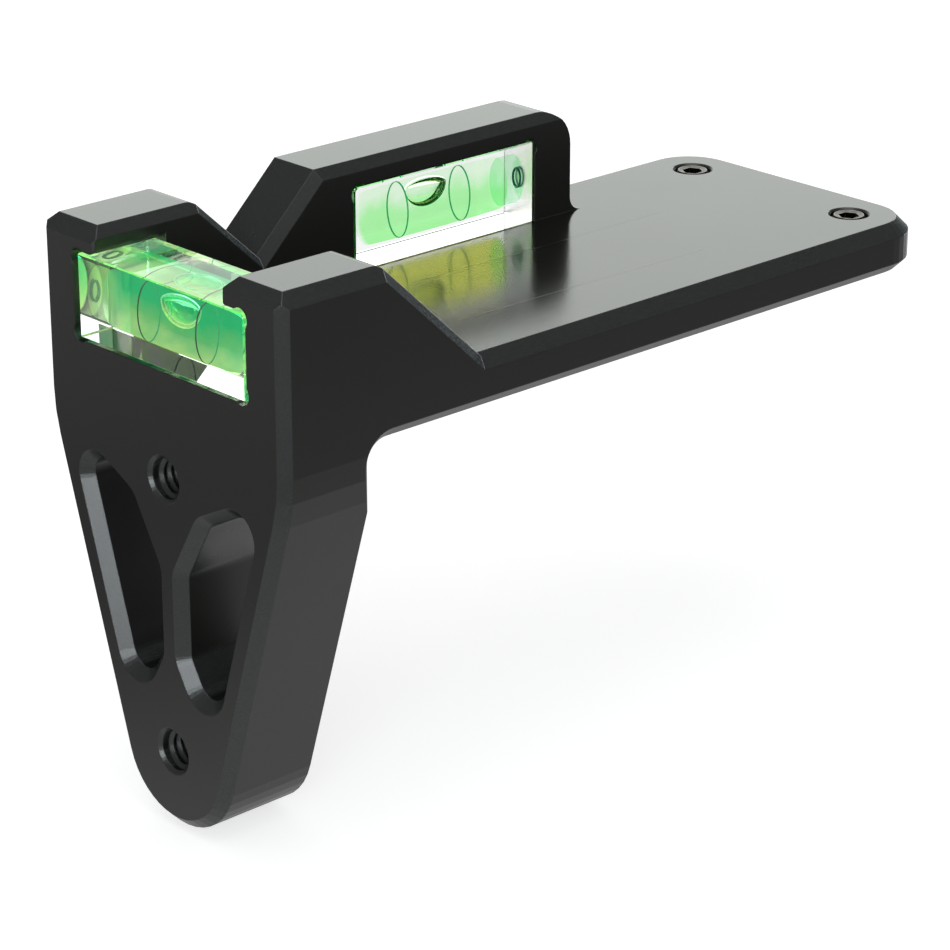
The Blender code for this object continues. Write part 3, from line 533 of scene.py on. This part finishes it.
# Side vial: the same block vial, glued into the window of the rail so that light from behind shines
# through it. Its plug is at the far end, and its block stands on the shelf.
vial("side_vial", "side_bubble", turn=math.radians(-90), bedding=(0.00015, 0.00018, 0.00028),
     acrylic=clear_acrylic("side_clear_acrylic", axis=1, sawn_roughness=0.3, edge_light=0.0),
     fluid=dyed_fluid("side_green_fluid", 1.0, axis=1, ends=(0.0045, -0.0173), depths=(-0.0126, -0.0194),
                      levels=(0.0068, 0.0140), near_share=0.9, fade=0.05,
                      tints_and_painted_light=((0.41, 0.93, 0.39), (0.47, 0.97, 0.45), (0.82, 1.0, 0.80)),
                      painted_glows=((0.0, 0.015, 0.0), (0.0, 0.01, 0.0), (0.0, 0.0, 0.0)),
                      mirrored=(0.60, 0.66, 0.03, 1.0)),
     plug=dyed_fluid("side_plug_acrylic", 1.0, axis=1, ends=(0.0078, 0.0046), depths=(-0.0129, -0.0191),
                     levels=(0.0070, 0.0138), near_share=0.6,
                     tints_and_painted_light=((0.60, 0.92, 0.66), (0.58, 0.92, 0.66), (0.62, 0.88, 0.68)),
                     painted_glows=((0.0, 0.02, 0.0), (0.0, 0.02, 0.0), (0.0, 0.02, 0.0)),
                     mirrored=(0.8, 0.85, 0.7, 1.0)),
     resin=seal_resin,
     # painted light: the side vial's dark lines are coloured and lit green, standing in for the lit fluid
     # round them
     line=speckled("side_line_painted_green_glow", (0.004, 0.24, 0.07, 1.0), (0.010, 0.32, 0.10, 1.0), fineness=2500.0,
                   roughness=0.5, light=1.0),
     air=bubble_surface("side_bubble_surface", (0.95, 1.0, 0.95, 1.0), 1.17, ripple=0.04, fineness=1500.0,
                        rim=((0.02, 0.20, 0.07, 1.0), (0.04, 0.12, 0.06, 1.0))),
     skin=bubble_skin)


# Set screws: two hexagon-socket set screws in tapped holes at the shelf's far corners, black oxide
# steel with the finish worn bright round the rim, turned from below to level the bracket.
OXIDE_BROWN = (0.030, 0.018, 0.015, 1.0)
RUBBED_STEEL = (0.12, 0.11, 0.10, 1.0)
BRIGHT_STEEL = (0.55, 0.53, 0.50, 1.0)
SCREW_RIM_RADIUS = 0.00187
SCREW_ROOT_RADIUS = 0.00190
SCREW_CREST_RADIUS = 0.00236
SCREW_POINT_RADIUS = 0.00155
SCREW_POINT_RISE = 0.0008
SOCKET_FLATS = 0.00238
SOCKET_DEPTH = 0.0026
SOCKET_LEAD = 0.00012
DRILL_POINT = 0.0004
RIM_ROUNDS = 48
RIM_STEPS = ((-0.0003, SCREW_ROOT_RADIUS + 0.00018), (-0.0005, SCREW_ROOT_RADIUS))
RIM_EDGE_ROUNDING = 0.00016
SCREW_THREAD_START = 0.0003
THREAD_BITE = 0.00004

steel, tree, shader = material("black_oxide_steel")
where = place(tree, "ShaderNodeTexCoord").outputs
scuffs = grain_of(tree, where["Object"], fineness=1800.0)
bright = remap(tree, scuffs["Marks"], 0.3, 0.6, 0.5, 1.0)
rim = maths(tree, "MULTIPLY", faces_of(tree, where["Normal"])["Up"], bright)
colour = blend(tree, rim, OXIDE_BROWN, RUBBED_STEEL)
rounded, plain, likeness = edges_of(tree, RIM_EDGE_ROUNDING)
colour = blend(tree, remap(tree, likeness, 0.99, 0.85), colour, BRIGHT_STEEL)
connect(tree, shader, {"Base Color": colour, "Metallic": 1.0,
                       "Roughness": remap(tree, scuffs["Clouds"], 0.0, 1.0, 0.22, 0.42)})


def only(kind, geometry):
    """Only the vertices, edges or faces among an operator's results."""
    return [item for item in geometry if isinstance(item, kind)]


for side in ("right", "left"):
    low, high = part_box(side + "_set_screw")
    x, y = (low.x + high.x) / 2, (low.y + high.y) / 2
    bm = bmesh.new()
    bmesh.ops.create_circle(bm, segments=RIM_ROUNDS, radius=SCREW_RIM_RADIUS, cap_ends=False)
    outer = bm.edges[:]
    bmesh.ops.create_circle(bm, segments=6, radius=SOCKET_FLATS / math.sqrt(3), cap_ends=False)
    flats = [e for e in bm.edges if e not in outer]
    bmesh.ops.subdivide_edges(bm, edges=flats, cuts=RIM_ROUNDS // 6 - 1)
    inner = [e for e in bm.edges if e not in outer]
    bmesh.ops.translate(bm, vec=(0, 0, -SOCKET_LEAD), verts=list({v for e in inner for v in e.verts}))
    bmesh.ops.bridge_loops(bm, edges=outer + inner)
    walls = bmesh.ops.extrude_edge_only(bm, edges=inner)["geom"]
    bmesh.ops.translate(bm, vec=(0, 0, -SOCKET_DEPTH), verts=only(bmesh.types.BMVert, walls))
    bottom = bmesh.ops.contextual_create(bm, geom=only(bmesh.types.BMEdge, walls))["faces"]
    tip = bmesh.ops.poke(bm, faces=only(bmesh.types.BMFace, bottom))["verts"]
    bmesh.ops.translate(bm, vec=(0, 0, -DRILL_POINT), verts=tip)
    edges = outer
    for drop, radius in (*RIM_STEPS, (low.z - high.z + SCREW_POINT_RISE, SCREW_ROOT_RADIUS),
                         (0.0, SCREW_POINT_RADIUS)):
        grown = bmesh.ops.extrude_edge_only(bm, edges=edges)["geom"]
        ring, edges = only(bmesh.types.BMVert, grown), only(bmesh.types.BMEdge, grown)
        now = max(v.co.xy.length for v in ring)
        bmesh.ops.scale(bm, vec=(radius / now, radius / now, 1.0), verts=ring)
        bmesh.ops.translate(bm, vec=(0, 0, drop), verts=ring)
    bmesh.ops.contextual_create(bm, geom=edges)
    bmesh.ops.translate(bm, vec=(x, y, high.z), verts=bm.verts[:])
    screw = piece(side + "_socket_set_screw", bm, steel, side + "_screw", smooth=False)
    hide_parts(side + "_set_screw")
    ridge = helix([(SCREW_ROOT_RADIUS - THREAD_BITE, 0.0), (SCREW_CREST_RADIUS, PITCH * 0.40),
                   (SCREW_CREST_RADIUS, PITCH * 0.50), (SCREW_ROOT_RADIUS - THREAD_BITE, PITCH * 0.90)],
                  (0, 0, 1), (x, y, low.z), SCREW_THREAD_START, PITCH,
                  (high.z - low.z - THREAD_MARGIN) / PITCH)
    thread = piece(side + "_set_screw_thread", ridge, steel, side + "_screw", smooth=False)


# Studio: a plain white floor under the nose, a bright backdrop that the top faces mirror, and soft boxes
# behind, above and in front. The camera stands where the photograph's did.
FLOOR_HEIGHT = -0.0496
FLOOR_SIZE = 2.5
PAPER_GREY = (0.62, 0.62, 0.62, 1.0)
BEHIND = (-0.730, 0.683, 0.0)
BEFORE = (-0.71, -0.70, 0.0)

floor_mesh = bmesh.new()
bmesh.ops.create_grid(floor_mesh, x_segments=1, y_segments=1, size=FLOOR_SIZE)
bmesh.ops.translate(floor_mesh, vec=(0, 0, FLOOR_HEIGHT), verts=floor_mesh.verts[:])
data = bpy.data.meshes.new("studio_floor")
floor_mesh.to_mesh(data)
floor_mesh.free()
floor = bpy.data.objects.new("studio_floor", data)
bpy.context.scene.collection.objects.link(floor)

# the camera sees the paper white with the object's shadow on it; glass sees it white too, and glossy
# surfaces see it bright under the object, along the backdrop and in the foreground, and greyer elsewhere
paper, tree, shader = material("white_paper")
connect(tree, shader, {"Base Color": PAPER_GREY, "Roughness": 0.9, "Specular IOR Level": 0.0})
ray = place(tree, "ShaderNodeLightPath").outputs
spot = place(tree, "ShaderNodeTexCoord").outputs["Object"]
far = vectors(tree, "LENGTH", spot, result="Value")
white = place(tree, "ShaderNodeEmission", {"Strength": remap(tree, far, 0.15, 0.8, 0.70, 1.0)})
lit = place(tree, "ShaderNodeAddShader", {0: shader.outputs[0], 1: white.outputs[0]})
spread = place(tree, "ShaderNodeMapping", {"Vector": spot, "Location": (-0.02, -0.018, -FLOOR_HEIGHT),
               "Scale": (1.0, 0.4, 1.0)}).outputs[0]
under = remap(tree, vectors(tree, "LENGTH", spread, result="Value"), 0.02, 0.11, 0.56, 0.17, "SMOOTHSTEP")
before = vectors(tree, "DOT_PRODUCT", spot, BEFORE, "Value")
foreground = remap(tree, before, 0.15, 0.22, 0.17, 0.34, "SMOOTHSTEP")
behind = vectors(tree, "DOT_PRODUCT", spot, BEHIND, "Value")
backdrop = remap(tree, behind, 0.04, 0.20, 0.0, 0.95, "SMOOTHSTEP")
bearing = vectors(tree, "DOT_PRODUCT", vectors(tree, "NORMALIZE", spot), BEHIND, "Value")
width = maths(tree, "MAXIMUM", remap(tree, bearing, 0.88, 0.97, 0.08, 1.0, "SMOOTHSTEP"),
              remap(tree, far, 0.2, 0.5, 1.0, 0.0))
nearby = maths(tree, "MAXIMUM", under, foreground)
strength = maths(tree, "MAXIMUM", nearby, maths(tree, "MULTIPLY", backdrop, width))
mirrored = place(tree, "ShaderNodeEmission", {"Strength": strength})
through = place(tree, "ShaderNodeEmission", {"Strength": 0.95})
choice = shader.outputs[0]
for kind, look in (("Is Camera Ray", lit), ("Is Glossy Ray", mirrored), ("Is Transmission Ray", through)):
    choice = place(tree, "ShaderNodeMixShader", {0: ray[kind], 1: choice, 2: look.outputs[0]}).outputs[0]
connect(tree, tree.nodes["Material Output"], {"Surface": choice})
data.materials.append(paper)

# the air round it lights softly, looks white, and holds the same backdrop for glossy surfaces and glass
ROOM_GREY = (0.30, 0.30, 0.30, 1.0)
ROOM_WHITE = (1.0, 1.0, 1.0, 1.0)
SCREEN_DARK = (0.12, 0.12, 0.12, 1.0)
SCREEN_BRIGHT = (0.885, 0.925, 0.885, 1.0)
WINDOW = (0.95, 0.95, 0.95, 1.0)
MIRRORED_WINDOW = (1.45, 1.45, 1.45, 1.0)

world = bpy.data.worlds.new("studio")
bpy.context.scene.world = world
world.use_nodes = True
tree = world.node_tree
ray = place(tree, "ShaderNodeLightPath").outputs
outwards = place(tree, "ShaderNodeTexCoord").outputs["Generated"]
level_way = vectors(tree, "NORMALIZE", vectors(tree, "MULTIPLY", outwards, (1.0, 1.0, 0.0)))
behind = vectors(tree, "DOT_PRODUCT", level_way, BEHIND, "Value")
backdrop = remap(tree, behind, 0.86, 0.96, curve="SMOOTHSTEP")
screen = blend(tree, backdrop, SCREEN_DARK, SCREEN_BRIGHT)
window = blend(tree, maths(tree, "GREATER_THAN", ray["Glossy Depth"], 0.5), WINDOW, MIRRORED_WINDOW)
colour = blend(tree, ray["Is Camera Ray"], ROOM_GREY, ROOM_WHITE)
colour = blend(tree, ray["Is Glossy Ray"], colour, screen)
colour = blend(tree, ray["Is Transmission Ray"], colour, window)
connect(tree, tree.nodes["Background"], {"Color": colour})


def soft_box(name, place_at, wide, high, radiance, colour=(1.0, 1.0, 1.0)):
    """A flat lamp that faces the object, given by how bright its surface is."""
    lamp = bpy.data.lights.new(name, "AREA")
    lamp.shape = "RECTANGLE"
    lamp.size, lamp.size_y = wide, high
    lamp.energy = radiance * math.pi * wide * high
    lamp.color = colour
    made = bpy.data.objects.new(name, lamp)
    made.location = place_at
    made.rotation_euler = (-Vector(place_at)).to_track_quat("-Z", "Y").to_euler()
    made.visible_camera = False
    bpy.context.scene.collection.objects.link(made)


soft_box("back_soft_box", (-0.595, 0.557, 0.38), 1.1, 0.6, 0.85, (0.95, 1.0, 0.95))
soft_box("top_soft_box", (0.15, -0.10, 0.90), 0.8, 0.8, 1.2)
soft_box("front_soft_box", (0.56, -0.79, 0.22), 0.36, 0.62, 5.5, (0.90, 0.97, 1.0))

lens = bpy.data.cameras.new("photo_camera")
lens.lens = 128.28
lens.sensor_width = 36.0
camera = bpy.data.objects.new("photo_camera", lens)
camera.location = (0.27657, -0.27105, 0.13159)
camera.rotation_euler = (math.radians(68.349), 0.0, math.radians(46.879))
bpy.context.scene.collection.objects.link(camera)
bpy.context.scene.camera = camera
bpy.context.scene.view_settings.view_transform = "Standard"
